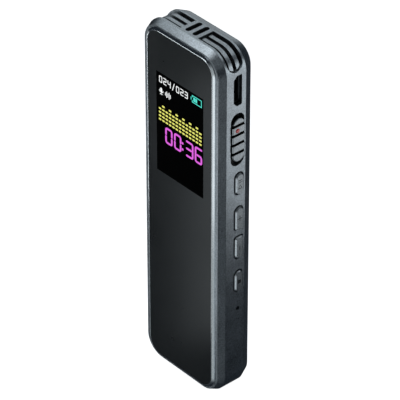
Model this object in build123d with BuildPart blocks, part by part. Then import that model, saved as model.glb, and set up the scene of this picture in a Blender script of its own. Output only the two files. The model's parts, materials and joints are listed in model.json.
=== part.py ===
from build123d import *
import math
import os

# Handheld voice recorder, in millimetres.
# It stands upright: +Z is up, -Y is the glass side and +X is the control side.
# The origin is the middle of the flat base.

# Case
WIDTH = 29.2
HEIGHT = 104.5
FRONT_Y = -5.8
REAR_Y = 5.8
CORNER = 6.3
WALL = 1.2
SEAM_Y = 3.0
SEAM_GAP = 0.04
SIDE_X = WIDTH / 2
INNER_X = SIDE_X - WALL

# Front edge, as an inset from the case outline
LEDGE_OUT = 0.95
LEDGE_Y = -5.3
LEDGE_ROUND = 0.1
CHAMFER_Y = -3.3

# Glass and its bezel, as insets from the case outline; more at the sides and less at both ends
FACE_EXTRA_SIDE = 0.23
FACE_LESS_END = 0.24
BEZEL_OUT = 1.65
BEZEL_SHOULDER_Y = -5.45
BEZEL_LIP = 2.22
BEZEL_ROUND = 0.4
BEZEL_IN = 2.45
BEZEL_SEAT_Y = -4.6
GLASS_IN = 2.5
GLASS_FRONT_Y = -5.75
GLASS_THICK = 0.75
SHELF_IN = 3.6
SHELF_Y = -4.85
SHELF_REAR_Y = -4.0
FIT_GAP = 0.03

# Rear cover
REAR_INSET = 1.35
COVER_INNER_Y = 4.6
COVER_POCKET_IN = 2.4
LIP_Y = 1.6
LIP_WIDTH = 0.8

# Inner carrier and main board
CARRIER_FRONT_Y = -3.0
CARRIER_REAR_Y = -2.2
CARRIER_IN = 1.5
BOARD_FRONT_Y = 2.05
BOARD_THICK = 0.8
BOARD_HALF = 12.1
BOARD_LOW = 20.5
BOARD_HIGH = 97.5
SCREW_SPOTS = [(-10.4, 60.5), (-10.4, 90.0), (4.2, 60.5), (10.2, 23.2)]

# Display
PANEL_WIDTH = 20.4
PANEL_LOW = 58.2
PANEL_HIGH = 92.2
PANEL_REAR_Y = -3.4
FLEX_X = -1.5

# Keys on the right side
KEY_Y = 0.91
KEY_WIDTH = 2.6
KEY_OUT = 0.55
KEY_BEVEL = 0.32
KEY_GAP = 0.32
KEY_TRAVEL = 0.35
PLAY_Z = 65.86
STOP_Z = 35.76
KEY_LENGTH = 6.4
PLUS_FLAT_Z = 52.08
PLUS_ROUND_Z = 58.76
MINUS_FLAT_Z = 49.68
MINUS_ROUND_Z = 42.93
FLANGE_GROW = 0.6
PUSHER_Y = 0.5
FLANGE_X = (12.9, 13.3)
PUSHER_X = 11.85
GASKET_X = (12.1, 12.35)
RESET_Z = 26.95
RESET_R = 0.55

# Slide switch
SLOT_Y = 0.34
SLOT_Z = 79.25
SLOT_LENGTH = 15.5
SLOT_WIDTH = 4.45
KNOB_Z = 79.35
KNOB_LENGTH = 12.6
KNOB_WIDTH = 4.1
KNOB_OUT = 0.55
KNOB_BASE_X = 13.5
SLIDE_TRAVEL = 1.4
GROOVE_Z = 79.75
GROOVE_PITCH = 2.69
GROOVE_WIDTH = 0.85
GROOVE_DEPTH = 0.95
MARK_Y = -0.12
MARK_Z = 82.3
MARK_R = 0.62

# Micro-USB socket: two corners of its mouth are cut off, the two at the back are nearly square
USB_Y = 0.34
USB_Z = 93.6
USB_MOUTH = (2.7, 8.8)
USB_SHELL = (2.95, 8.0)
USB_WALL = 0.3
USB_X = (7.6, 13.35)

# Microphones and the windows over them
MIC_Y = -0.12
WINDOW_X = 3.25
WINDOW_HALF = 2.52
WINDOW_ROUND_Z = 101.54
BAR_WIDTH = 1.1
BAR_PITCH = 2.15
BAR_DROP = 0.5
STRAP_Y = 0.1
STRAP_SLOT = (5.1, 1.5)
STRAP_SLOT_X = 1.325
CAPSULE_R = 1.45
BOOT_R = 1.8

# Speaker
SPEAKER_Z = 12.0
SPEAKER_R = 6.5
SPEAKER_Y = (1.2, 4.2)

os.makedirs("parts", exist_ok=True)


def front_plane(y):
    """Plane parallel to the glass at depth y, facing the front."""
    return Plane.XZ.offset(-y)


def back_plane(y):
    """Plane parallel to the glass at depth y, facing the back, with X reversed."""
    return Plane(origin=(0, y, 0), x_dir=(-1, 0, 0), z_dir=(0, 1, 0))


def side_plane(x):
    """Plane across X, facing the control side; its sketches use Y and Z."""
    return Plane.YZ.offset(x)


def taper_of(inset, depth):
    """Draft angle that moves an outline in by inset over depth."""
    return math.degrees(math.atan2(inset, depth))


def case_outline(inset, mode=Mode.ADD):
    """Front view of the case, moved in by inset."""
    with Locations((0, HEIGHT / 2)):
        RectangleRounded(WIDTH - 2 * inset, HEIGHT - 2 * inset, CORNER - inset, mode=mode)


def face_outline(inset, mode=Mode.ADD):
    """Front view of the bezel or the glass, moved in by about inset."""
    with Locations((0, HEIGHT / 2)):
        RectangleRounded(
            WIDTH - 2 * (inset + FACE_EXTRA_SIDE),
            HEIGHT - 2 * (inset - FACE_LESS_END),
            CORNER - inset,
            mode=mode,
        )


def span(low, high, across, x=0.0, mode=Mode.ADD):
    """Rectangle between two heights, centred on x."""
    with Locations((x, (low + high) / 2)):
        Rectangle(across, high - low, mode=mode)


def long_key(middle, grow=0.0):
    """Side view of a key with two round ends."""
    with Locations((KEY_Y, middle)):
        SlotOverall(KEY_LENGTH + 2 * grow, KEY_WIDTH + 2 * grow, rotation=90)


def half_key(flat, round_end, grow=0.0):
    """Side view of a volume key with one round end and one nearly square end."""
    way = math.copysign(1, round_end - flat)
    centre = round_end - way * KEY_WIDTH / 2
    square = flat - way * grow
    with Locations((KEY_Y, centre)):
        Circle(KEY_WIDTH / 2 + grow)
    span(min(square, centre), max(square, centre), KEY_WIDTH + 2 * grow, x=KEY_Y)
    ends = vertices().group_by(Axis.Y)
    fillet(ends[0] if way > 0 else ends[-1], 0.5 + grow)


def key_outline(name, grow=0.0):
    """Side view of one of the four keys."""
    if name == "play":
        long_key(PLAY_Z, grow)
    elif name == "stop":
        long_key(STOP_Z, grow)
    elif name == "volume_up":
        half_key(PLUS_FLAT_Z, PLUS_ROUND_Z, grow)
    else:
        half_key(MINUS_FLAT_Z, MINUS_ROUND_Z, grow)


def socket_outline(width, length, cut, corner):
    """Side view of the socket: front corners cut off, rear corners a little round."""
    with Locations((USB_Y, USB_Z)):
        Rectangle(width, length)
    chamfer(vertices().group_by(Axis.X)[0], cut)
    fillet(vertices().group_by(Axis.X)[-1], corner)


def window_outline(shrink=0.0):
    """Side view of a microphone window: open at the top, round at the bottom."""
    half = WINDOW_HALF - shrink
    with Locations((MIC_Y, WINDOW_ROUND_Z)):
        Circle(half)
    span(WINDOW_ROUND_Z, HEIGHT + 2, 2 * half, x=MIC_Y)


def corner_strip(side, outer, inner, from_x, from_z):
    """Strip that follows the case outline round one upper corner."""
    case_outline(outer)
    case_outline(inner, mode=Mode.SUBTRACT)
    reach = SIDE_X + 1
    span(from_z, HEIGHT + 1, reach - from_x, x=side * (reach + from_x) / 2, mode=Mode.INTERSECT)


KEY_MIDDLES = {
    "play": PLAY_Z,
    "volume_up": (PLUS_FLAT_Z + PLUS_ROUND_Z) / 2,
    "volume_down": (MINUS_FLAT_Z + MINUS_ROUND_Z) / 2,
    "stop": STOP_Z,
}

# ---------------------------------------------------------------- case

# Cover glass
with BuildPart() as front_glass:
    with BuildSketch(front_plane(GLASS_FRONT_Y + GLASS_THICK)):
        face_outline(GLASS_IN)
    extrude(amount=GLASS_THICK)
    chamfer(front_glass.faces().sort_by(Axis.Y)[0].edges(), 0.08)
front_glass.part.label = "front_glass"
export_step(front_glass.part, "parts/front_glass.step")

# Adhesive frame between the glass and its shelf
with BuildPart() as glass_adhesive:
    with BuildSketch(front_plane(SHELF_Y)):
        face_outline(GLASS_IN + 0.1)
        face_outline(SHELF_IN - 0.1, mode=Mode.SUBTRACT)
    extrude(amount=SHELF_Y - (GLASS_FRONT_Y + GLASS_THICK))
glass_adhesive.part.label = "glass_adhesive"
export_step(glass_adhesive.part, "parts/glass_adhesive.step")

# Polished ring round the glass, with a narrow lip that rolls over into a bevel
with BuildPart() as front_bezel:
    with BuildSketch(front_plane(BEZEL_SEAT_Y)):
        face_outline(BEZEL_OUT)
    extrude(amount=BEZEL_SEAT_Y - BEZEL_SHOULDER_Y)
    with BuildSketch(front_plane(BEZEL_SHOULDER_Y)):
        face_outline(BEZEL_OUT)
    bevel_depth = BEZEL_SHOULDER_Y - FRONT_Y
    extrude(amount=bevel_depth, taper=taper_of(BEZEL_LIP - BEZEL_OUT, bevel_depth))
    fillet(front_bezel.faces().sort_by(Axis.Y)[0].edges(), BEZEL_ROUND)
    with BuildSketch(front_plane(BEZEL_SEAT_Y)):
        face_outline(BEZEL_IN)
    extrude(amount=BEZEL_SEAT_Y - FRONT_Y, mode=Mode.SUBTRACT)
front_bezel.part.label = "front_bezel"
export_step(front_bezel.part, "parts/front_bezel.step")

# Aluminium band with the front chamfer, the glass shelf and every opening
with BuildPart() as middle_frame:
    with BuildSketch(front_plane(SEAM_Y)):
        case_outline(0)
    extrude(amount=SEAM_Y - CHAMFER_Y)
    with BuildSketch(front_plane(CHAMFER_Y)):
        case_outline(0)
    chamfer_depth = CHAMFER_Y - LEDGE_Y
    extrude(amount=chamfer_depth, taper=taper_of(LEDGE_OUT, chamfer_depth))
    for edge_y, edge_round in ((CHAMFER_Y, 0.3), (LEDGE_Y, LEDGE_ROUND)):
        edge_loop = middle_frame.edges().filter_by_position(Axis.Y, edge_y - 0.01, edge_y + 0.01)
        fillet(edge_loop, edge_round)
    # hollow, glass seat and bezel seat
    with BuildSketch(front_plane(SEAM_Y)):
        case_outline(WALL)
    extrude(amount=SEAM_Y - SHELF_REAR_Y, mode=Mode.SUBTRACT)
    seats = [
        (SHELF_IN, SHELF_REAR_Y),
        (GLASS_IN - FIT_GAP, SHELF_Y),
        (BEZEL_OUT - FIT_GAP, BEZEL_SEAT_Y),
    ]
    for inset, seat_y in seats:
        with BuildSketch(front_plane(seat_y)):
            face_outline(inset)
        extrude(amount=seat_y - FRONT_Y, mode=Mode.SUBTRACT)
    # microphone windows, cut through to the inside from both sides
    for side in (-1, 1):
        with BuildSketch(side_plane(side * WINDOW_X)):
            window_outline()
        extrude(amount=side * SIDE_X, mode=Mode.SUBTRACT)
    # two strap slots with a bar between them
    with BuildSketch(Plane.XY.offset(HEIGHT - WALL)):
        with Locations((-STRAP_SLOT_X, STRAP_Y), (STRAP_SLOT_X, STRAP_Y)):
            SlotOverall(*STRAP_SLOT, rotation=90)
    extrude(amount=2 * WALL, mode=Mode.SUBTRACT)
    # socket mouth, slide switch slot and reset hole
    with BuildSketch(side_plane(INNER_X - 0.2)):
        socket_outline(*USB_MOUTH, cut=1.05, corner=0.35)
        with Locations((SLOT_Y, SLOT_Z)):
            SlotOverall(SLOT_LENGTH, SLOT_WIDTH, rotation=90)
        with Locations((KEY_Y, RESET_Z)):
            Circle(RESET_R)
    extrude(amount=2 * WALL, mode=Mode.SUBTRACT)
    # key openings
    for key_name in KEY_MIDDLES:
        with BuildSketch(side_plane(INNER_X - 0.2)):
            key_outline(key_name, KEY_GAP)
        extrude(amount=2 * WALL, mode=Mode.SUBTRACT)
middle_frame.part.label = "middle_frame"
export_step(middle_frame.part, "parts/middle_frame.step")

# Rear shell: chamfered back, a locating lip inside the band, board posts and speaker holes
with BuildPart() as rear_cover:
    cover_depth = REAR_Y - SEAM_Y - SEAM_GAP
    with BuildSketch(back_plane(SEAM_Y + SEAM_GAP)):
        case_outline(0)
    extrude(amount=cover_depth, taper=taper_of(REAR_INSET, cover_depth))
    fillet(rear_cover.faces().sort_by(Axis.Y)[-1].edges(), 0.5)
    with BuildSketch(back_plane(SEAM_Y + SEAM_GAP)):
        case_outline(COVER_POCKET_IN)
    extrude(amount=COVER_INNER_Y - SEAM_Y - SEAM_GAP, mode=Mode.SUBTRACT)
    with BuildSketch(back_plane(LIP_Y)):
        case_outline(WALL + FIT_GAP)
        case_outline(WALL + FIT_GAP + LIP_WIDTH, mode=Mode.SUBTRACT)
        span(RESET_Z - 3, HEIGHT, 6.0, x=-SIDE_X, mode=Mode.SUBTRACT)
        span(HEIGHT - CORNER, HEIGHT, WIDTH, mode=Mode.SUBTRACT)
    extrude(amount=SEAM_Y + SEAM_GAP - LIP_Y)
    with BuildSketch(back_plane(BOARD_FRONT_Y + BOARD_THICK + 0.05)):
        with Locations((-8, 42), (8, 42), (0, 74)):
            Circle(1.2)
    extrude(until=Until.NEXT)
    with BuildSketch(back_plane(COVER_INNER_Y - 0.1)):
        with Locations((0, SPEAKER_Z)):
            Circle(0.45)
            for ring in (1, 2, 3):
                with PolarLocations(1.6 * ring, 6 * ring):
                    Circle(0.45)
    extrude(amount=2, mode=Mode.SUBTRACT)
rear_cover.part.label = "rear_cover"
export_step(rear_cover.part, "parts/rear_cover.step")

# ---------------------------------------------------------------- carrier and electronics

# Moulded carrier: plate behind the display, rim against the shelf, bosses and speaker ring
with BuildPart() as inner_carrier:
    with BuildSketch(front_plane(CARRIER_REAR_Y)):
        case_outline(CARRIER_IN)
        span(56.2, 57.9, 10.5, x=FLEX_X, mode=Mode.SUBTRACT)
        span(98.0, HEIGHT, WIDTH, mode=Mode.SUBTRACT)
    extrude(amount=CARRIER_REAR_Y - CARRIER_FRONT_Y)
    with BuildSketch(front_plane(CARRIER_FRONT_Y)):
        case_outline(CARRIER_IN)
        case_outline(CARRIER_IN + 1.1, mode=Mode.SUBTRACT)
    extrude(amount=CARRIER_FRONT_Y - SHELF_REAR_Y)
    with BuildSketch(front_plane(BOARD_FRONT_Y)):
        with Locations(*SCREW_SPOTS):
            Circle(1.5)
            Circle(0.5, mode=Mode.SUBTRACT)
    extrude(amount=BOARD_FRONT_Y - CARRIER_REAR_Y)
    with BuildSketch(front_plane(SPEAKER_Y[0])):
        with Locations((0, SPEAKER_Z)):
            Circle(SPEAKER_R + 0.4)
            Circle(SPEAKER_R - 0.8, mode=Mode.SUBTRACT)
    extrude(amount=SPEAKER_Y[0] - CARRIER_REAR_Y)
    with BuildSketch(front_plane(-1.4)):
        span(31.5, 70.8, 0.8, x=GASKET_X[0] - 0.4)
    extrude(amount=-1.4 - CARRIER_REAR_Y)
inner_carrier.part.label = "inner_carrier"
export_step(inner_carrier.part, "parts/inner_carrier.step")

# Main board
with BuildPart() as main_board:
    with BuildSketch(front_plane(BOARD_FRONT_Y + BOARD_THICK)):
        span(BOARD_LOW, BOARD_HIGH, 2 * BOARD_HALF)
        fillet(vertices(), 1.0)
        with Locations(*SCREW_SPOTS):
            Circle(0.75, mode=Mode.SUBTRACT)
    extrude(amount=BOARD_THICK)
main_board.part.label = "main_board"
export_step(main_board.part, "parts/main_board.step")

# Screws that hold the board on the carrier's bosses
with BuildPart() as board_screws:
    with BuildSketch(front_plane(BOARD_FRONT_Y + BOARD_THICK + 0.5)):
        with Locations(*SCREW_SPOTS):
            Circle(1.2)
            RegularPolygon(0.45, 6, mode=Mode.SUBTRACT)
    extrude(amount=0.5)
    with BuildSketch(front_plane(BOARD_FRONT_Y + BOARD_THICK + 0.2)):
        with Locations(*SCREW_SPOTS):
            Circle(0.5)
    extrude(amount=3.6)
board_screws.part.label = "board_screws"
export_step(board_screws.part, "parts/board_screws.step")

# Chips and connectors on the front of the board: name, x, z, width, height, thickness
BOARD_PARTS = [
    ("processor_chip", -3.0, 80.0, 8.0, 8.0, 0.9),
    ("memory_chip", -3.5, 68.5, 8.0, 6.0, 0.9),
    ("audio_chip", -2.0, 90.5, 5.0, 5.0, 0.8),
    ("display_connector", FLEX_X, 60.9, 7.5, 2.4, 1.0),
    ("battery_connector", -7.4, 61.0, 2.6, 2.6, 1.6),
]
for node, part_x, part_z, part_width, part_height, part_thick in BOARD_PARTS:
    with BuildPart() as board_part:
        with BuildSketch(front_plane(BOARD_FRONT_Y)):
            span(part_z - part_height / 2, part_z + part_height / 2, part_width, x=part_x)
        extrude(amount=part_thick)
        chamfer(board_part.faces().sort_by(Axis.Y)[0].edges(), 0.12)
    board_part.part.label = node
    export_step(board_part.part, f"parts/{node}.step")

# ---------------------------------------------------------------- display

# Display module, bonded to the back of the glass
with BuildPart() as display_panel:
    with BuildSketch(front_plane(PANEL_REAR_Y)):
        span(PANEL_LOW, PANEL_HIGH, PANEL_WIDTH)
    extrude(amount=PANEL_REAR_Y - (GLASS_FRONT_Y + GLASS_THICK))
display_panel.part.label = "display_panel"
export_step(display_panel.part, "parts/display_panel.step")

# Foam pad between the display and the carrier
with BuildPart() as display_foam:
    with BuildSketch(front_plane(CARRIER_FRONT_Y)):
        span(PANEL_LOW + 1.5, PANEL_HIGH - 1, PANEL_WIDTH - 2)
        span(PANEL_LOW + 5, PANEL_HIGH - 5, PANEL_WIDTH - 9, mode=Mode.SUBTRACT)
    extrude(amount=CARRIER_FRONT_Y - PANEL_REAR_Y)
display_foam.part.label = "display_foam"
export_step(display_foam.part, "parts/display_foam.step")

# Flat ribbon from the foot of the display, through the carrier, to the board
FLEX_TOP_Y = -3.9
FLEX_END_Y = 1.3
FLEX_Z = 57.1
with BuildPart() as display_flex:
    with BuildSketch(side_plane(FLEX_X - 3)):
        with BuildLine():
            FilletPolyline(
                (FLEX_TOP_Y, PANEL_LOW),
                (FLEX_TOP_Y, FLEX_Z),
                (FLEX_END_Y, FLEX_Z),
                (FLEX_END_Y, 59.7),
                radius=0.5,
            )
        trace(line_width=0.15)
    extrude(amount=6)
display_flex.part.label = "display_flex"
export_step(display_flex.part, "parts/display_flex.step")

# ---------------------------------------------------------------- keys

for key_name, key_z in KEY_MIDDLES.items():
    # Key: bevelled cap, retaining flange inside the wall, and a pusher
    with BuildPart() as key:
        with BuildSketch(side_plane(FLANGE_X[1])):
            key_outline(key_name)
        extrude(amount=SIDE_X + KEY_OUT - FLANGE_X[1])
        chamfer(key.faces().sort_by(Axis.X)[-1].edges(), KEY_BEVEL)
        with BuildSketch(side_plane(FLANGE_X[0])):
            key_outline(key_name, FLANGE_GROW)
        extrude(amount=FLANGE_X[1] - FLANGE_X[0])
        with BuildSketch(side_plane(PUSHER_X)):
            with Locations((PUSHER_Y, key_z)):
                Rectangle(1.4, 2.4)
        extrude(amount=FLANGE_X[0] - PUSHER_X)
    key.part.label = f"{key_name}_button"
    export_step(key.part, f"parts/{key_name}_button.step")

    # Plunger of the switch under the key
    with BuildPart() as plunger:
        with BuildSketch(side_plane(PUSHER_X - 1.45)):
            with Locations((PUSHER_Y, key_z)):
                Rectangle(1.2, 2.2)
        extrude(amount=1.45)
    plunger.part.label = f"{key_name}_plunger"
    export_step(plunger.part, f"parts/{key_name}_plunger.step")

# Rubber strip that seals the four pushers
with BuildPart() as button_gasket:
    with BuildSketch(side_plane(GASKET_X[0])):
        span(31.5, 70.8, 4.1, x=-0.15)
        with Locations(*[(PUSHER_Y, key_z) for key_z in KEY_MIDDLES.values()]):
            Rectangle(1.6, 2.6, mode=Mode.SUBTRACT)
    extrude(amount=GASKET_X[1] - GASKET_X[0])
button_gasket.part.label = "button_gasket"
export_step(button_gasket.part, "parts/button_gasket.step")

# Side-push switches on the board, one behind each key
SWITCH_X = (8.6, 11.2)
SWITCH_FRONT_Y = -0.9
with BuildPart() as tact_switches:
    for key_z in KEY_MIDDLES.values():
        with BuildSketch(front_plane(BOARD_FRONT_Y)):
            span(key_z - 2.2, key_z + 2.2, SWITCH_X[1] - SWITCH_X[0], x=sum(SWITCH_X) / 2)
        extrude(amount=BOARD_FRONT_Y - SWITCH_FRONT_Y)
    with BuildSketch(side_plane(PUSHER_X - 1.45 - KEY_TRAVEL - 0.1)):
        with Locations(*[(PUSHER_Y, key_z) for key_z in KEY_MIDDLES.values()]):
            Rectangle(1.3, 2.3)
    extrude(amount=2, mode=Mode.SUBTRACT)
tact_switches.part.label = "tact_switches"
export_step(tact_switches.part, "parts/tact_switches.step")

# Small switch behind the reset hole
with BuildPart() as reset_switch:
    with BuildSketch(front_plane(BOARD_FRONT_Y)):
        span(RESET_Z - 1.3, RESET_Z + 1.3, 2.6, x=10.5)
    extrude(amount=BOARD_FRONT_Y - SWITCH_FRONT_Y)
    with BuildSketch(side_plane(11.8)):
        with Locations((KEY_Y, RESET_Z)):
            Circle(0.5)
    extrude(amount=0.8)
reset_switch.part.label = "reset_switch"
export_step(reset_switch.part, "parts/reset_switch.step")

# ---------------------------------------------------------------- record slide

STEM_WIDTH = 1.2
STEM_LENGTH = 1.8
PLATE_X = (12.95, 13.37)

# Knob with round ends and four grooves across it
with BuildPart() as record_slider:
    with BuildSketch(side_plane(KNOB_BASE_X)):
        with Locations((SLOT_Y, KNOB_Z)):
            SlotOverall(KNOB_LENGTH, KNOB_WIDTH, rotation=90)
    extrude(amount=SIDE_X + KNOB_OUT - KNOB_BASE_X)
    fillet(record_slider.faces().sort_by(Axis.X)[-1].edges(), 0.25)
    top_x = SIDE_X + KNOB_OUT
    with BuildSketch(side_plane(top_x - GROOVE_DEPTH)):
        for step in (-1.5, -0.5, 0.5, 1.5):
            with Locations((SLOT_Y, GROOVE_Z + step * GROOVE_PITCH)):
                Rectangle(KNOB_WIDTH + 1, GROOVE_WIDTH)
    extrude(amount=GROOVE_DEPTH, mode=Mode.SUBTRACT)
    # seat for the switch's post, and for the mark
    with BuildSketch(side_plane(KNOB_BASE_X)):
        with Locations((PUSHER_Y, KNOB_Z)):
            Rectangle(STEM_WIDTH, STEM_LENGTH)
    extrude(amount=0.4, mode=Mode.SUBTRACT)
    with BuildSketch(side_plane(top_x - 0.5)):
        with Locations((MARK_Y, MARK_Z)):
            Circle(MARK_R)
    extrude(amount=1, mode=Mode.SUBTRACT)
record_slider.part.label = "record_slider"
export_step(record_slider.part, "parts/record_slider.step")

# Domed red mark pressed into the knob
with BuildPart() as record_mark:
    with BuildSketch(side_plane(top_x - 0.5)):
        with Locations((MARK_Y, MARK_Z)):
            Circle(MARK_R)
    extrude(amount=0.7)
    fillet(record_mark.faces().sort_by(Axis.X)[-1].edges(), 0.28)
record_mark.part.label = "record_mark"
export_step(record_mark.part, "parts/record_mark.step")

# Post that links the knob to the switch
with BuildPart() as switch_actuator:
    with BuildSketch(side_plane(10.9)):
        with Locations((PUSHER_Y, KNOB_Z)):
            Rectangle(STEM_WIDTH, STEM_LENGTH)
    extrude(amount=KNOB_BASE_X + 0.4 - 10.9)
switch_actuator.part.label = "switch_actuator"
export_step(switch_actuator.part, "parts/switch_actuator.step")

# Dark wear plate behind the slot
with BuildPart() as slider_plate:
    with BuildSketch(side_plane(PLATE_X[0])):
        span(SLOT_Z - 9.2, SLOT_Z + 9.2, 4.9, x=0.32)
        with Locations((PUSHER_Y, KNOB_Z)):
            Rectangle(STEM_WIDTH + 0.3, STEM_LENGTH + 2 * SLIDE_TRAVEL + 0.4, mode=Mode.SUBTRACT)
    extrude(amount=PLATE_X[1] - PLATE_X[0])
slider_plate.part.label = "slider_plate"
export_step(slider_plate.part, "parts/slider_plate.step")

# Slide switch on the board
with BuildPart() as slide_switch:
    with BuildSketch(front_plane(BOARD_FRONT_Y)):
        span(KNOB_Z - 4.2, KNOB_Z + 4.2, 2.8, x=10.3)
    extrude(amount=BOARD_FRONT_Y + 1.1)
    with BuildSketch(side_plane(10.7)):
        with Locations((PUSHER_Y, KNOB_Z)):
            Rectangle(STEM_WIDTH + 0.3, STEM_LENGTH + 2 * SLIDE_TRAVEL + 0.4)
    extrude(amount=2, mode=Mode.SUBTRACT)
slide_switch.part.label = "slide_switch"
export_step(slide_switch.part, "parts/slide_switch.step")

# ---------------------------------------------------------------- Micro-USB socket

with BuildPart() as usb_shell:
    with BuildSketch(side_plane(USB_X[0])):
        socket_outline(*USB_SHELL, cut=0.9, corner=0.3)
    extrude(amount=USB_X[1] - USB_X[0])
    # foot soldered to the board
    with BuildSketch(front_plane(BOARD_FRONT_Y)):
        span(USB_Z - 3, USB_Z + 3, 3.6, x=USB_X[0] + 2.2)
    extrude(amount=0.5)
    with BuildSketch(side_plane(USB_X[0] + 0.9)):
        socket_outline(USB_SHELL[0] - 2 * USB_WALL, USB_SHELL[1] - 2 * USB_WALL, cut=0.75, corner=0.1)
    extrude(amount=USB_X[1] - USB_X[0], mode=Mode.SUBTRACT)
usb_shell.part.label = "usb_shell"
export_step(usb_shell.part, "parts/usb_shell.step")

with BuildPart() as usb_tongue:
    with BuildSketch(side_plane(USB_X[0] + 0.9)):
        with Locations((USB_Y, USB_Z)):
            Rectangle(2.0, 5.8)
    extrude(amount=0.8)
    with BuildSketch(side_plane(USB_X[0] + 1.7)):
        with Locations((USB_Y + 0.2, USB_Z)):
            Rectangle(0.6, 3.6)
    extrude(amount=3.0)
usb_tongue.part.label = "usb_tongue"
export_step(usb_tongue.part, "parts/usb_tongue.step")

# ---------------------------------------------------------------- microphones

CORNER_X = SIDE_X - CORNER
CORNER_Z = HEIGHT - CORNER
for side, side_name in ((-1, "left"), (1, "right")):
    # Two bars that follow the corner, a little below the surface
    with BuildPart() as mic_bars:
        for bar_y in (MIC_Y - BAR_PITCH / 2, MIC_Y + BAR_PITCH / 2):
            with BuildSketch(front_plane(bar_y + BAR_WIDTH / 2)):
                corner_strip(side, BAR_DROP, WALL + 0.05, WINDOW_X + 0.4, CORNER_Z)
            extrude(amount=BAR_WIDTH)
        with BuildSketch(side_plane(side * WINDOW_X)):
            window_outline(shrink=0.3)
        extrude(amount=side * SIDE_X, mode=Mode.INTERSECT)
    mic_bars.part.label = f"{side_name}_mic_bars"
    export_step(mic_bars.part, f"parts/{side_name}_mic_bars.step")

    # Black seat of the bars, with sound slots between them
    with BuildPart() as mic_seat:
        with BuildSketch(front_plane(MIC_Y + WINDOW_HALF + 0.3)):
            corner_strip(side, WALL + 0.05, WALL + 0.75, WINDOW_X - 0.35, CORNER_Z + 0.1)
        extrude(amount=2 * WINDOW_HALF + 0.6)
        for gap_y in (MIC_Y - BAR_PITCH, MIC_Y, MIC_Y + BAR_PITCH):
            with BuildSketch(front_plane(gap_y + 0.4)):
                corner_strip(side, WALL - 0.1, WALL + 0.9, WINDOW_X + 0.7, WINDOW_ROUND_Z - 1)
            extrude(amount=0.8, mode=Mode.SUBTRACT)
    mic_seat.part.label = f"{side_name}_mic_seat"
    export_step(mic_seat.part, f"parts/{side_name}_mic_seat.step")

    # Dust mesh behind the seat
    with BuildPart() as mic_mesh:
        with BuildSketch(front_plane(MIC_Y + WINDOW_HALF + 0.1)):
            corner_strip(side, WALL + 0.75, WALL + 0.95, WINDOW_X, CORNER_Z + 0.2)
        extrude(amount=2 * WINDOW_HALF + 0.2)
    mic_mesh.part.label = f"{side_name}_mic_mesh"
    export_step(mic_mesh.part, f"parts/{side_name}_mic_mesh.step")

    # Microphone capsule and its rubber boot, facing out through the corner
    mic_axis = Vector(side, 0, 1).normalized()
    corner_centre = Vector(side * CORNER_X, MIC_Y, CORNER_Z)
    boot_plane = Plane(corner_centre + mic_axis * 1.8, x_dir=(0, 1, 0), z_dir=mic_axis)
    with BuildPart() as mic_boot:
        with BuildSketch(boot_plane):
            Circle(BOOT_R)
        extrude(amount=1.6)
        with BuildSketch(boot_plane.offset(0.3)):
            Circle(CAPSULE_R)
        extrude(amount=1.6, mode=Mode.SUBTRACT)
    mic_boot.part.label = f"{side_name}_mic_boot"
    export_step(mic_boot.part, f"parts/{side_name}_mic_boot.step")

    with BuildPart() as microphone:
        with BuildSketch(boot_plane.offset(0.3)):
            Circle(CAPSULE_R)
        extrude(amount=1.2)
        with BuildSketch(boot_plane.offset(1.3)):
            Circle(0.4)
        extrude(amount=1, mode=Mode.SUBTRACT)
    microphone.part.label = f"{side_name}_microphone"
    export_step(microphone.part, f"parts/{side_name}_microphone.step")

# Black cup behind the strap slots, so that a strap can pass round the bar
with BuildPart() as strap_well:
    with BuildSketch(Plane.XY.offset(HEIGHT - WALL - 3)):
        with Locations((0, STRAP_Y)):
            Rectangle(5.6, 5.7)
    extrude(amount=3 - 0.02)
    with BuildSketch(Plane.XY.offset(HEIGHT - WALL - 2.3)):
        with Locations((0, STRAP_Y)):
            RectangleRounded(4.3, 5.2, 0.6)
    extrude(amount=3, mode=Mode.SUBTRACT)
strap_well.part.label = "strap_well"
export_step(strap_well.part, "parts/strap_well.step")

# ---------------------------------------------------------------- speaker

with BuildPart() as speaker:
    with BuildSketch(back_plane(SPEAKER_Y[0])):
        with Locations((0, SPEAKER_Z)):
            Circle(SPEAKER_R)
    extrude(amount=SPEAKER_Y[1] - SPEAKER_Y[0])
    with BuildSketch(back_plane(SPEAKER_Y[1] - 0.8)):
        with Locations((0, SPEAKER_Z)):
            Circle(SPEAKER_R - 0.8)
            Circle(2.4, mode=Mode.SUBTRACT)
    extrude(amount=1, mode=Mode.SUBTRACT)
speaker.part.label = "speaker"
export_step(speaker.part, "parts/speaker.step")

with BuildPart() as speaker_gasket:
    with BuildSketch(back_plane(SPEAKER_Y[1])):
        with Locations((0, SPEAKER_Z)):
            Circle(SPEAKER_R)
            Circle(SPEAKER_R - 0.8, mode=Mode.SUBTRACT)
    extrude(amount=0.25)
speaker_gasket.part.label = "speaker_gasket"
export_step(speaker_gasket.part, "parts/speaker_gasket.step")

with BuildPart() as speaker_mesh:
    with BuildSketch(back_plane(SPEAKER_Y[1] + 0.25)):
        with Locations((0, SPEAKER_Z)):
            Circle(SPEAKER_R)
    extrude(amount=0.15)
speaker_mesh.part.label = "speaker_mesh"
export_step(speaker_mesh.part, "parts/speaker_mesh.step")

# ---------------------------------------------------------------- battery and wires

BATTERY_X = (-12.2, 6.0)
BATTERY_Z = (21.0, 55.4)
BATTERY_Y = (-2.05, 1.7)
with BuildPart() as battery_cell:
    with BuildSketch(front_plane(BATTERY_Y[1])):
        span(*BATTERY_Z, BATTERY_X[1] - BATTERY_X[0], x=sum(BATTERY_X) / 2)
    extrude(amount=BATTERY_Y[1] - BATTERY_Y[0])
    fillet(battery_cell.edges().filter_by(Axis.Z), 0.8)
battery_cell.part.label = "battery_cell"
export_step(battery_cell.part, "parts/battery_cell.step")

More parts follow.
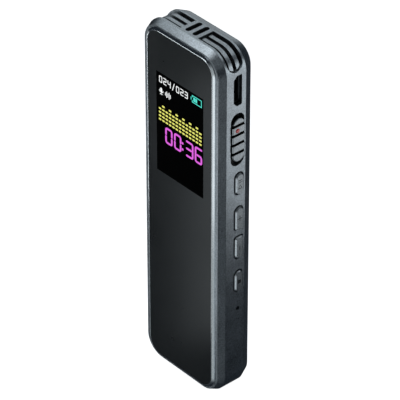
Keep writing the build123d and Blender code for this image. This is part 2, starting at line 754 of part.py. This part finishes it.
with BuildPart() as battery_tape:
    with BuildSketch(front_plane(BATTERY_Y[0])):
        span(BATTERY_Z[0] + 3, BATTERY_Z[1] - 3, 14, x=sum(BATTERY_X) / 2)
    extrude(amount=BATTERY_Y[0] - CARRIER_REAR_Y)
battery_tape.part.label = "battery_tape"
export_step(battery_tape.part, "parts/battery_tape.step")

WIRE_R = 0.35
with BuildPart() as battery_leads:
    for wire_x in (-8.0, -6.8):
        with BuildLine():
            lead = FilletPolyline(
                (wire_x, 0, BATTERY_Z[1]),
                (wire_x, 0, 57.0),
                (wire_x, 1.1, 58.2),
                (wire_x, 1.1, 59.7),
                radius=0.5,
            )
        with BuildSketch(Plane(lead @ 0, z_dir=lead % 0)):
            Circle(WIRE_R)
        sweep(path=lead)
battery_leads.part.label = "battery_leads"
export_step(battery_leads.part, "parts/battery_leads.step")

with BuildPart() as speaker_leads:
    for wire_x in (-1.0, 1.0):
        with BuildLine():
            lead = Line((wire_x, 2.45, 18.52), (wire_x, 2.45, BOARD_LOW))
        with BuildSketch(Plane(lead @ 0, z_dir=lead % 0)):
            Circle(WIRE_R)
        sweep(path=lead)
speaker_leads.part.label = "speaker_leads"
export_step(speaker_leads.part, "parts/speaker_leads.step")
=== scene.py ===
import json
import math

import bmesh
import bpy
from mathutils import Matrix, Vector


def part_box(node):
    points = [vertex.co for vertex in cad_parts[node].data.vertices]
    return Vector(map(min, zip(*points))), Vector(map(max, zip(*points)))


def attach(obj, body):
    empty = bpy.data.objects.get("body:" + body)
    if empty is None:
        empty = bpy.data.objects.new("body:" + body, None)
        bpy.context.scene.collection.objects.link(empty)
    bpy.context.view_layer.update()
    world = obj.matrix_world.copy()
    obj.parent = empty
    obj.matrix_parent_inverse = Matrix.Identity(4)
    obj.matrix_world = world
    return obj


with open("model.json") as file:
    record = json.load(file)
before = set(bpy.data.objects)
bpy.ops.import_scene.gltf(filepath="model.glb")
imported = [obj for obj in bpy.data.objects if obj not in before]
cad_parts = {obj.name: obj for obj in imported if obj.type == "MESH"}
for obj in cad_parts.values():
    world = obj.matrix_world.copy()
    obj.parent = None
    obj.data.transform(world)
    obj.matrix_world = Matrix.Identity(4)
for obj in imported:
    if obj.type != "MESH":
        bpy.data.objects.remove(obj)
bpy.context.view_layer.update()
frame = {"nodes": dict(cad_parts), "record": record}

MM = 0.001
NODES = frame["nodes"]
SLOT_OF = {part["node"]: part["material_slot"] for part in frame["record"]["subparts"]}
MAIN_BODY = "recorder"

# Straight pieces in each round corner, and in the round end of a pen stroke
ARC_STEPS = 6


def feed(tree, socket, value):
    """Links an output to the socket, or sets the socket to a plain value."""
    if isinstance(value, bpy.types.NodeSocket):
        tree.links.new(value, socket)
    else:
        socket.default_value = value


# ------------------------------------------------------------ camera

def make_camera():
    """Long lens from the upper right, aimed near the middle of the recorder."""
    azimuth, elevation = math.radians(48.694), math.radians(35.405)
    distance = 0.78625
    target = Vector((0, 0.2, 52)) * MM
    back = Vector((
        math.sin(azimuth) * math.cos(elevation),
        -math.cos(azimuth) * math.cos(elevation),
        math.sin(elevation),
    ))
    data = bpy.data.cameras.new("camera")
    data.sensor_width = 36
    data.lens = 279.06
    data.shift_x = 0.00536
    data.shift_y = 0.01088
    data.clip_start = 0.01
    data.clip_end = 20
    camera = bpy.data.objects.new("camera", data)
    camera.location = target + back * distance
    camera.rotation_mode = "QUATERNION"
    camera.rotation_quaternion = (-back).to_track_quat("-Z", "Y")
    bpy.context.scene.collection.objects.link(camera)
    bpy.context.scene.camera = camera


# ------------------------------------------------------------ studio

# Far soft boxes: direction, angle of the even core and of the faded edge in degrees, and strength.
# Each lies where the surface named beside it mirrors it towards the camera.
SOFT_BOXES = [
    ((-0.61, -0.11, 0.78), 6, 26, 0.48),  # front chamfer along the top
    ((-0.61, 0.54, 0.58), 14, 42, 0.58),  # top face
    ((0.20, 0.54, 0.82), 8, 26, 0.75),  # round corner, towards the top
    ((0.84, 0.54, 0.10), 9, 22, 0.55),  # round corner, towards the side
    ((-0.61, 0.79, -0.07), 5, 17, 0.38),  # rear edge of the top
    ((0.10, -0.93, -0.35), 18, 34, 0.42),  # faces between the front and the bevel
    ((0.80, -0.13, -0.58), 8, 24, 0.06),  # front chamfer along the side
    ((0.66, -0.32, 0.69), 12, 30, 0.16),  # front chamfer at the round corner
    ((0.54, -0.61, -0.58), 8, 20, 1.35),  # right bevel
    ((-0.61, -0.54, -0.58), 8, 22, 0.03),  # glass
    ((-0.80, -0.16, -0.58), 4, 13, 0.6),  # left bevel
    ((-0.61, -0.76, -0.23), 4, 12, 2.4),  # top bevel
]

# Soft panels close to the recorder: name, centre, target, width and height in millimetres, radiance
PANELS = [
    ("side_panel", (92, 68, 51), (14, 0, 51), 50, 127, 0.86),
    ("left_panel", (-62, -14, 47), (-12, -6, 47), 12, 66, 2.4),
    ("chamfer_panel", (112, -20, 40), (13, -4, 40), 50, 90, 0.05),
    ("bevel_panel", (37, -105, 24), (13, -6, 80), 60, 70, 0.5),
    ("glass_panel", (-31, -48, 18), (13, -6, 18), 16, 88, 0.66),
    ("top_panel", (-4, -14, 142), (9, -4, 104), 50, 26, 0.95),
]
PANEL_COLOR = (0.95, 0.98, 1.0)
ENERGY_PER_RADIANCE = 4


def make_soft_boxes(tree):
    """Summed strength of the soft boxes for each direction of the world."""
    direction = tree.nodes.new("ShaderNodeTexCoord").outputs["Generated"]
    total = 0.0
    for aim, core, edge, strength in SOFT_BOXES:
        dot = tree.nodes.new("ShaderNodeVectorMath")
        dot.operation = "DOT_PRODUCT"
        feed(tree, dot.inputs[0], direction)
        feed(tree, dot.inputs[1], Vector(aim).normalized())
        ramp = tree.nodes.new("ShaderNodeMapRange")
        ramp.interpolation_type = "SMOOTHSTEP"
        feed(tree, ramp.inputs["Value"], dot.outputs["Value"])
        feed(tree, ramp.inputs["From Min"], math.cos(math.radians(edge)))
        feed(tree, ramp.inputs["From Max"], math.cos(math.radians(core)))
        feed(tree, ramp.inputs["To Max"], strength)
        add = tree.nodes.new("ShaderNodeMath")
        feed(tree, add.inputs[0], total)
        feed(tree, add.inputs[1], ramp.outputs["Result"])
        total = add.outputs[0]
    return total


def make_world():
    """Dim bluish room with nearly white soft boxes in it."""
    world = bpy.data.worlds.new("studio")
    bpy.context.scene.world = world
    world.use_nodes = True
    tree = world.node_tree
    tree.nodes.clear()
    output = tree.nodes.new("ShaderNodeOutputWorld")
    both = tree.nodes.new("ShaderNodeAddShader")
    feed(tree, output.inputs["Surface"], both.outputs[0])
    layers = [((0.60, 0.76, 1.0, 1), 0.028), ((0.92, 0.98, 1.0, 1), make_soft_boxes(tree))]
    for socket, (color, strength) in zip(both.inputs, layers):
        background = tree.nodes.new("ShaderNodeBackground")
        feed(tree, background.inputs["Color"], color)
        feed(tree, background.inputs["Strength"], strength)
        feed(tree, socket, background.outputs[0])


def make_panels():
    for name, centre, target, width, height, radiance in PANELS:
        data = bpy.data.lights.new(name, "AREA")
        data.shape = "RECTANGLE"
        data.size = width * MM
        data.size_y = height * MM
        data.color = PANEL_COLOR
        data.energy = ENERGY_PER_RADIANCE * data.size * data.size_y * radiance
        light = bpy.data.objects.new(name, data)
        light.location = Vector(centre) * MM
        light.rotation_mode = "QUATERNION"
        light.rotation_quaternion = (Vector(target) - Vector(centre)).to_track_quat("-Z", "Y")
        light.visible_camera = False
        bpy.context.scene.collection.objects.link(light)


def make_floor():
    """Pale floor and far walls, seen by the camera only, so that the studio alone lights the metal."""
    half, height, drop = 3.0, 3.0, 0.02 * MM
    square = [(-half, -half), (half, -half), (half, half), (-half, half)]
    points = [(x, y, z) for z in (-drop, height) for x, y in square]
    walls = [(i, (i + 1) % 4, (i + 1) % 4 + 4, i + 4) for i in range(4)]
    mesh = bpy.data.meshes.new("floor")
    mesh.from_pydata(points, [], [(0, 1, 2, 3), *walls])
    floor = bpy.data.objects.new("floor", mesh)
    bpy.context.scene.collection.objects.link(floor)
    m = Material("floor")
    grain = m.noise(60, 3, 0.5)
    m.set("Base Color", m.ramp(grain, (0.86, 0.865, 0.87), (0.9, 0.905, 0.91)))
    m.set("Roughness", 0.9)
    m.set("Specular IOR Level", 0.1)
    m.set("Emission Color", (1, 1, 1, 1))
    m.set("Emission Strength", 0.93)
    mesh.materials.append(m.data)
    floor.visible_diffuse = False
    floor.visible_glossy = False
    floor.visible_transmission = False
    floor.visible_shadow = False


# ------------------------------------------------------------ materials

# Metres from one wave to the next of a wave texture at scale 1
WAVE_PERIOD = 0.314


class Material:
    """Small helper round one Principled material, with object coordinates in metres."""

    def __init__(self, name):
        self.name = name
        self.data = bpy.data.materials.new(name)
        self.data.use_nodes = True
        self.tree = self.data.node_tree
        self.shader = self.tree.nodes["Principled BSDF"]
        self.place = self.node("TexCoord").outputs["Object"]

    def node(self, kind, **inputs):
        """New node, with its inputs linked or set by name."""
        made = self.tree.nodes.new(f"ShaderNode{kind}")
        for name, value in inputs.items():
            feed(self.tree, made.inputs[name.replace("_", " ")], value)
        return made

    def set(self, name, value):
        feed(self.tree, self.shader.inputs[name], value)

    def noise(self, scale, detail, roughness, stretch=(1, 1, 1)):
        """Noise from 0 to 1; scale in grains per metre."""
        place = self.node("Mapping", Vector=self.place, Scale=stretch).outputs[0]
        noise = self.node("TexNoise", Vector=place, Scale=scale, Detail=detail, Roughness=roughness)
        return noise.outputs["Fac"]

    def weave(self, pitch):
        """Threads along two diagonals of the surface, as a height from 0 to 1; pitch in millimetres."""
        waves = []
        for rotation in ((0, 0.7, 0.6), (0, -0.7, 0.6)):
            place = self.node("Mapping", Vector=self.place, Rotation=rotation).outputs[0]
            wave = self.node("TexWave", Vector=place, Scale=WAVE_PERIOD / (pitch * MM))
            waves.append(wave.outputs["Fac"])
        return self.combine("MAXIMUM", *waves)

    def combine(self, operation, first, second):
        node = self.node("Math")
        node.operation = operation
        feed(self.tree, node.inputs[0], first)
        feed(self.tree, node.inputs[1], second)
        return node.outputs[0]

    def ramp(self, factor, dark, light, low=0.3, high=0.7):
        """Colour that goes from dark to light as the factor goes from low to high."""
        node = self.node("ValToRGB", Fac=factor)
        for element, position, color in zip(node.color_ramp.elements, (low, high), (dark, light)):
            element.position = position
            element.color = (*color, 1)
        return node.outputs["Color"]

    def span(self, factor, to_low, to_high, low=0.3, high=0.7):
        """Number that goes from to_low to to_high as the factor goes from low to high."""
        node = self.node("MapRange", Value=factor, From_Min=low, From_Max=high, To_Min=to_low, To_Max=to_high)
        return node.outputs["Result"]

    def shade_with_depth(self, color, deep_x, face_x, least):
        """Colour darkened as painted shade with depth: full strength at face_x and only the least part of it
        at deep_x.
        """
        across = self.node("SeparateXYZ", Vector=self.place).outputs["X"]
        depth = self.span(across, least, 1.0, deep_x, face_x)
        node = self.node("VectorMath")
        node.operation = "SCALE"
        feed(self.tree, node.inputs[0], color)
        feed(self.tree, node.inputs["Scale"], depth)
        return node.outputs["Vector"]

    def bump(self, height, relief):
        """Relief in millimetres."""
        self.set("Normal", self.node("Bump", Height=height, Distance=relief * MM).outputs["Normal"])


def shade(color, factor):
    return tuple(min(1.0, c * factor) for c in color)


def blasted_metal(name, color, roughness):
    """Anodised, finely bead-blasted aluminium: small grains, faint cloudiness and a satin sheen."""
    m = Material(name)
    grain = m.noise(2700, 3, 0.6)
    cloud = m.noise(140, 3, 0.5)
    mixed = m.combine("ADD", m.combine("MULTIPLY", grain, 0.75), m.combine("MULTIPLY", cloud, 0.25))
    m.set("Base Color", m.ramp(mixed, shade(color, 0.70), shade(color, 1.28), low=0.36, high=0.64))
    m.set("Metallic", 1.0)
    m.set("Roughness", m.span(mixed, roughness - 0.04, roughness + 0.05))
    m.bump(grain, 0.03)
    return m


def slide_metal():
    """The keys' metal, with painted shade in the grooves that darkens with depth below the face of the slide.
    """
    m = blasted_metal("slide_metal", (0.39, 0.42, 0.44), 0.33)
    face_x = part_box("record_slider")[1].x
    shade_starts, shade_full = 0.06 * MM, 0.28 * MM
    base = m.shader.inputs["Base Color"].links[0].from_socket
    # Painted shade: the base colour falls to 6 percent of its strength deep in the grooves below the face of
    # the slide.
    m.set("Base Color", m.shade_with_depth(base, face_x - shade_full, face_x - shade_starts, 0.06))
    return m


def polished_metal():
    """Bevel cut after anodising: bright, with very fine turning lines."""
    m = Material("polished_metal")
    lines = m.noise(2600, 2, 0.5)
    color = (0.66, 0.70, 0.72)
    m.set("Base Color", m.ramp(lines, shade(color, 0.95), shade(color, 1.04)))
    m.set("Metallic", 1.0)
    m.set("Roughness", m.span(lines, 0.16, 0.22))
    m.bump(lines, 0.0015)
    return m


def cover_glass():
    """Clear glass over a charcoal print, which shows a trace of texture."""
    m = Material("cover_glass")
    print_grain = m.noise(900, 3, 0.6)
    m.set("Base Color", m.ramp(print_grain, (0.0026, 0.0034, 0.0040), (0.0040, 0.0050, 0.0056)))
    m.set("Roughness", m.span(m.noise(120, 4, 0.6), 0.27, 0.31))
    m.set("IOR", 1.5)
    m.set("Specular Tint", (0.90, 1.0, 1.04, 1))
    return m


def moulded(name, color, roughness, grain_size=0.25, relief=0.008, specular=0.4):
    """Moulded plastic or rubber with a fine spark-eroded texture; grain_size and relief in millimetres."""
    m = Material(name)
    grain = m.noise(1 / (grain_size * MM), 3, 0.55)
    m.set("Base Color", m.ramp(grain, shade(color, 0.85), shade(color, 1.15)))
    m.set("Roughness", m.span(grain, roughness - 0.05, roughness + 0.05))
    m.set("Specular IOR Level", specular)
    m.bump(grain, relief)
    return m


def brushed_steel():
    """Dark steel with fine lines across Z."""
    m = Material("steel")
    lines = m.noise(900, 3, 0.6, stretch=(1, 1, 8))
    m.set("Base Color", m.ramp(lines, (0.07, 0.07, 0.073), (0.10, 0.10, 0.104)))
    m.set("Metallic", 1.0)
    m.set("Roughness", m.span(lines, 0.25, 0.38))
    m.bump(lines, 0.002)
    return m


def dust_mesh():
    """Fine black woven mesh."""
    m = Material("mesh_black")
    threads = m.weave(0.18)
    m.set("Base Color", m.ramp(threads, (0.001, 0.001, 0.001), (0.012, 0.012, 0.013)))
    m.set("Roughness", m.span(threads, 0.7, 0.85))
    m.bump(threads, 0.04)
    return m


def display_black():
    """Unlit display behind the glass, with its faint pixel rows."""
    m = Material("display_black")
    rows = m.weave(0.12)
    m.set("Base Color", m.ramp(rows, (0.0004, 0.0005, 0.0006), (0.0011, 0.0013, 0.0014)))
    m.set("Roughness", m.span(m.noise(150, 3, 0.5), 0.40, 0.45))
    m.set("Specular IOR Level", 0.02)
    m.set("IOR", 1.15)
    return m


def lit_pixels(name, color):
    """Glowing display elements; the light varies a little from pixel to pixel."""
    m = Material(name)
    cells = m.noise(5200, 1, 0.4)
    m.set("Base Color", m.ramp(cells, shade(color, 0.02), shade(color, 0.03)))
    m.set("Roughness", 0.4)
    m.set("Specular IOR Level", 0.2)
    m.set("Emission Color", m.ramp(cells, shade(color, 0.9), shade(color, 1.05)))
    m.set("Emission Strength", 1.0)
    return m


def circuit_board():
    """Green solder mask with slightly raised tracks."""
    m = Material("board")
    tracks = m.noise(350, 2, 0.5)
    m.set("Base Color", m.ramp(tracks, (0.01, 0.07, 0.04), (0.02, 0.13, 0.07), low=0.48, high=0.52))
    m.set("Roughness", m.span(tracks, 0.3, 0.45))
    m.bump(tracks, 0.02)
    return m


MATERIALS = {m.name: m.data for m in (
    cover_glass(),
    blasted_metal("case_metal", (0.39, 0.43, 0.46), 0.31),
    blasted_metal("key_metal", (0.39, 0.42, 0.44), 0.33),
    slide_metal(),
    polished_metal(),
    moulded("black_plastic", (0.010, 0.010, 0.011), 0.55),
    moulded("white_plastic", (0.70, 0.69, 0.65), 0.5),
    moulded("black_rubber", (0.012, 0.012, 0.012), 0.8, grain_size=0.4),
    dust_mesh(),
    moulded("red_mark", (0.90, 0.05, 0.04), 0.20, grain_size=0.3, relief=0.001, specular=1.0),
    brushed_steel(),
    circuit_board(),
    moulded("chip", (0.02, 0.02, 0.02), 0.6),
    moulded("flex", (0.42, 0.18, 0.04), 0.35, grain_size=0.6, relief=0.002),
    display_black(),
    moulded("speaker_body", (0.03, 0.03, 0.033), 0.6),
    blasted_metal("battery_foil", (0.60, 0.61, 0.62), 0.45),
    moulded("wire_red", (0.55, 0.03, 0.02), 0.35),
    moulded("key_print", (0.012, 0.013, 0.015), 0.5, grain_size=0.3, relief=0.002),
    lit_pixels("lit_white", (0.92, 0.95, 0.95)),
    lit_pixels("lit_yellow", (0.82, 0.82, 0.16)),
    lit_pixels("lit_cyan", (0.08, 0.78, 0.64)),
    lit_pixels("lit_magenta", (0.76, 0.12, 0.76)),
)}


def dress_cad_nodes():
    for node, obj in NODES.items():
        obj.data.materials.clear()
        obj.data.materials.append(MATERIALS[SLOT_OF[node]])


# ------------------------------------------------------------ flat marks

def rounded_path(points, radius):
    """Centre line through the points, in the plane, with its corners rounded."""
    path = [Vector(points[0])]
    for before, corner, after in zip(points, points[1:], points[2:]):
        before, corner, after = Vector(before), Vector(corner), Vector(after)
        into, out = corner - before, after - corner
        reach = min(radius, into.length * 0.5, out.length * 0.5)
        start = corner - into.normalized() * reach
        end = corner + out.normalized() * reach
        for step in range(ARC_STEPS + 1):
            t = step / ARC_STEPS
            path.append(start * (1 - t) ** 2 + corner * 2 * t * (1 - t) + end * t ** 2)
    path.append(Vector(points[-1]))
    return path


def stroke_outline(points, width, radius=0.0):
    """Closed outline of a pen stroke with round ends."""
    path = rounded_path(points, radius) if radius else [Vector(p) for p in points]
    directions = []
    for index in range(len(path)):
        ahead = path[min(index + 1, len(path) - 1)] - path[max(index - 1, 0)]
        directions.append(ahead.normalized())
    half = width / 2
    left, right = [], []
    for point, direction in zip(path, directions):
        normal = Vector((-direction.y, direction.x))
        left.append(point + normal * half)
        right.append(point - normal * half)

    def cap(centre, direction):
        start = math.atan2(direction.x, -direction.y)
        angles = [start - math.pi * step / ARC_STEPS for step in range(1, ARC_STEPS)]
        return [centre + Vector((math.cos(a), math.sin(a))) * half for a in angles]

    return left + cap(path[-1], directions[-1]) + right[::-1] + cap(path[0], -directions[0])


def box_outline(left, low, right, high, radius=0.0):
    """Rectangle, with round corners if a radius is given."""
    if not radius:
        return [Vector(p) for p in ((left, low), (right, low), (right, high), (left, high))]
    inner_left, inner_right = left + radius, right - radius
    inner_low, inner_high = low + radius, high - radius
    centres = [
        (inner_right, inner_high, 0),
        (inner_left, inner_high, 90),
        (inner_left, inner_low, 180),
        (inner_right, inner_low, 270),
    ]
    outline = []
    for x, y, start in centres:
        for step in range(ARC_STEPS + 1):
            angle = math.radians(start + 90 / ARC_STEPS * step)
            outline.append(Vector((x + radius * math.cos(angle), y + radius * math.sin(angle))))
    return outline


def centred_box(across, up, half_width, half_height, radius=0.0):
    """Rectangle about its middle."""
    return box_outline(across - half_width, up - half_height, across + half_width, up + half_height, radius)


def flat_piece(name, body, slot, outlines, to_space, thickness):
    """Thin solid shapes from flat outlines.

    to_space turns (across, up, out) into millimetres in the frame.
    """
    bm = bmesh.new()
    for outline in outlines:
        low = [bm.verts.new(Vector(to_space(p.x, p.y, 0.0)) * MM) for p in outline]
        high = [bm.verts.new(Vector(to_space(p.x, p.y, thickness)) * MM) for p in outline]
        bm.faces.new(low)
        bm.faces.new(high)
        for index in range(len(outline)):
            following = (index + 1) % len(outline)
            bm.faces.new((low[index], low[following], high[following], high[index]))
    bmesh.ops.recalc_face_normals(bm, faces=bm.faces)
    mesh = bpy.data.meshes.new(name)
    bm.to_mesh(mesh)
    bm.free()
    mesh.materials.append(MATERIALS[slot])
    piece = bpy.data.objects.new(name, mesh)
    bpy.context.scene.collection.objects.link(piece)
    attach(piece, body)


# ------------------------------------------------------------ display, in millimetres

GLASS_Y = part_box("front_glass")[0].y / MM
PANEL_LOW, PANEL_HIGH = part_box("display_panel")

# The lit area leaves a narrow border of the panel on three sides and a wide one at its foot
SCREEN_BORDER = 1.4
SCREEN_FOOT = 3.0
SCREEN_HALF = PANEL_HIGH.x / MM - SCREEN_BORDER
SCREEN_LOW = PANEL_LOW.z / MM + SCREEN_FOOT
SCREEN_HIGH = PANEL_HIGH.z / MM - SCREEN_BORDER

WINDOW_THICKNESS = 0.006
SIGN_THICKNESS = 0.010

# Strokes of each character in a box of width and height 1
DIGIT_STROKES = {
    "0": [[(0, 0.58), (0, 1), (1, 1), (1, 0.58)], [(0, 0.42), (0, 0), (1, 0), (1, 0.42)]],
    "2": [[(0, 1), (1, 1), (1, 0.5), (0, 0.5), (0, 0), (1, 0)]],
    "3": [[(0, 1), (1, 1), (1, 0), (0, 0)], [(0, 0.5), (0.72, 0.5)]],
    "4": [[(0, 1), (0, 0.5), (0.75, 0.5)], [(1, 1), (1, 0)]],
    "6": [[(1, 1), (0, 1), (0, 0), (1, 0), (1, 0.5), (0.28, 0.5)]],
    "/": [[(0.15, -0.1), (0.85, 1.1)]],
}


def on_glass(across, up, out):
    """A place on the glass, up from the base of the recorder."""
    return (across, GLASS_Y - out, up)


def on_screen(across, up, out):
    """A place on the display window, up from the top edge of the lit area."""
    return (across, GLASS_Y - WINDOW_THICKNESS - out, SCREEN_HIGH + up)


def lit_piece(name, slot, outlines):
    flat_piece(name, MAIN_BODY, slot, outlines, on_screen, SIGN_THICKNESS)


def digit_outlines(digit, left, low, width, height, pen, corner):
    outlines = []
    for stroke in DIGIT_STROKES[digit]:
        points = [
            (left + pen / 2 + x * (width - pen), low + pen / 2 + y * (height - pen))
            for x, y in stroke
        ]
        outlines.append(stroke_outline(points, pen, corner))
    return outlines


def make_window():
    """The dark display area, a thin layer on the glass."""
    outline = box_outline(-SCREEN_HALF, SCREEN_LOW, SCREEN_HALF, SCREEN_HIGH)
    flat_piece("display_window", MAIN_BODY, "display_black", [outline], on_glass, WINDOW_THICKNESS)


def make_counter():
    """File counter along the top."""
    left, low, pitch = -7.75, -2.85, 1.60
    width, height, pen, corner = 1.20, 1.95, 0.27, 0.22
    outlines = []
    for index, digit in enumerate("024/023"):
        outlines += digit_outlines(digit, left + index * pitch, low, width, height, pen, corner)
    lit_piece("counter_digits", "lit_white", outlines)


def make_battery_sign():
    """Outlined cell, half full, with its cap to the left."""
    left, low, right, high = 4.60, -2.84, 8.20, -0.71
    wall, cap_wall, shoulder = 0.24, 0.25, 0.40
    cap_left, cap_right = left - 0.45, left - 0.20
    cell_start, cell_width, cell_pitch, cell_gap = left + 0.50, 0.65, 0.75, 0.25
    inner_low, inner_high = low + wall, high - wall
    outlines = [
        box_outline(left, inner_high, right, high),
        box_outline(left, low, right, inner_low),
        box_outline(right - wall, inner_low, right, inner_high),
        box_outline(left, inner_low, left + cap_wall, inner_low + shoulder),
        box_outline(left, inner_high - shoulder, left + cap_wall, inner_high),
        box_outline(cap_left, inner_low + shoulder, cap_right, inner_high - shoulder),
    ]
    for cell in range(2):
        start = cell_start + cell * cell_pitch
        outlines.append(box_outline(start, inner_low + cell_gap, start + cell_width, inner_high - cell_gap))
    lit_piece("battery_sign", "lit_cyan", outlines)


def make_mode_sign():
    """Microphone and a short sound wave, for the recording mode."""
    middle, pen, head = -6.95, 0.22, 0.72
    cup_half, cup_low, cup_high, cup_corner = 0.65, -5.55, -5.05, 0.4
    foot_half, foot = 0.40, -6.18
    left, right = middle - cup_half, middle + cup_half
    cup = [(left, cup_high), (left, cup_low), (right, cup_low), (right, cup_high)]
    outlines = [
        stroke_outline([(middle, -5.25), (middle, -4.65)], head),
        stroke_outline(cup, pen, cup_corner),
        stroke_outline([(middle, -5.70), (middle, -6.05)], pen),
        stroke_outline([(middle - foot_half, foot), (middle + foot_half, foot)], pen),
    ]
    wave_left, wave_pitch, wave_up, wave_pen = -5.35, 0.46, -5.35, 0.26
    for index, reach in enumerate((0.35, 0.8, 0.5, 0.9, 0.45)):
        x = wave_left + index * wave_pitch
        outlines.append(stroke_outline([(x, wave_up - reach), (x, wave_up + reach)], wave_pen))
    lit_piece("mode_sign", "lit_white", outlines)


def make_level_bars():
    """Columns of four and five short bars in turn."""
    left, low = -7.45, -13.85
    column_pitch, row_pitch = 1.262, 1.06
    half_width, half_height, corner = 0.46, 0.26, 0.16
    outlines = []
    for column in range(13):
        for row in range(4 + column % 2):
            middle = (left + column * column_pitch, low + row * row_pitch)
            outlines.append(centred_box(*middle, half_width, half_height, corner))
    lit_piece("level_bars", "lit_yellow", outlines)


def make_timer():
    """Large timer of two pairs of digits."""
    low, width, height, pen, corner = -20.0, 2.8, 4.85, 0.6, 0.62
    outlines = []
    for digit, left in zip("0036", (-5.55, -2.2, 2.35, 5.6)):
        outlines += digit_outlines(digit, left, low, width, height, pen, corner)
    dot_across, dot_half, dot_corner = 1.04, 0.32, 0.2
    for dot_up in (-18.7, -16.85):
        outlines.append(centred_box(dot_across, dot_up, dot_half, dot_half, dot_corner))
    lit_piece("timer_digits", "lit_magenta", outlines)


# ------------------------------------------------------------ key marks, in millimetres

KEY_FACE_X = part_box("play_button")[1].x / MM
MARK_SINK = 0.002
MARK_THICKNESS = 0.012
MARK_PEN = 0.22


def key_mark(name, key, outlines):
    """Dark print on the cap of a key, about the middle of the key."""
    low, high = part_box(f"{key}_button")
    middle = (low + high) / 2 / MM

    def on_key(across, up, out):
        return (KEY_FACE_X - MARK_SINK + out, middle.y + across, middle.z + up)

    flat_piece(name, f"{key}_key", "key_print", outlines, on_key, MARK_THICKNESS)


def make_key_marks():
    """The marks are turned a quarter turn, so they read along the recorder."""
    pause_half = 0.52
    pause = [stroke_outline([(-pause_half, z), (pause_half, z)], MARK_PEN) for z in (0.62, 1.2)]
    base, tip, half, base_half, pen = -1.25, -0.15, 0.58, 0.3, 0.2
    play = [
        stroke_outline([(-half, base), (0.0, tip), (half, base)], pen),
        stroke_outline([(-base_half, base), (base_half, base)], pen),
    ]
    key_mark("play_mark", "play", pause + play)

    long_half, short_half, short_start = 0.68, 0.62, 0.18
    plus = [
        stroke_outline([(0, -long_half), (0, long_half)], MARK_PEN),
        stroke_outline([(-short_half, 0), (-short_start, 0)], MARK_PEN),
        stroke_outline([(short_start, 0), (short_half, 0)], MARK_PEN),
    ]
    key_mark("plus_mark", "volume_up", plus)

    minus_half = 0.64
    key_mark("minus_mark", "volume_down", [stroke_outline([(0, -minus_half), (0, minus_half)], MARK_PEN)])

    stop_half, stop_corner = 0.54, 0.1
    key_mark("stop_mark", "stop", [centred_box(0, 0, stop_half, stop_half, stop_corner)])


make_camera()
make_world()
make_panels()
make_floor()
dress_cad_nodes()
make_window()
make_counter()
make_battery_sign()
make_mode_sign()
make_level_bars()
make_timer()
make_key_marks()
bpy.context.scene.view_settings.view_transform = "Standard"
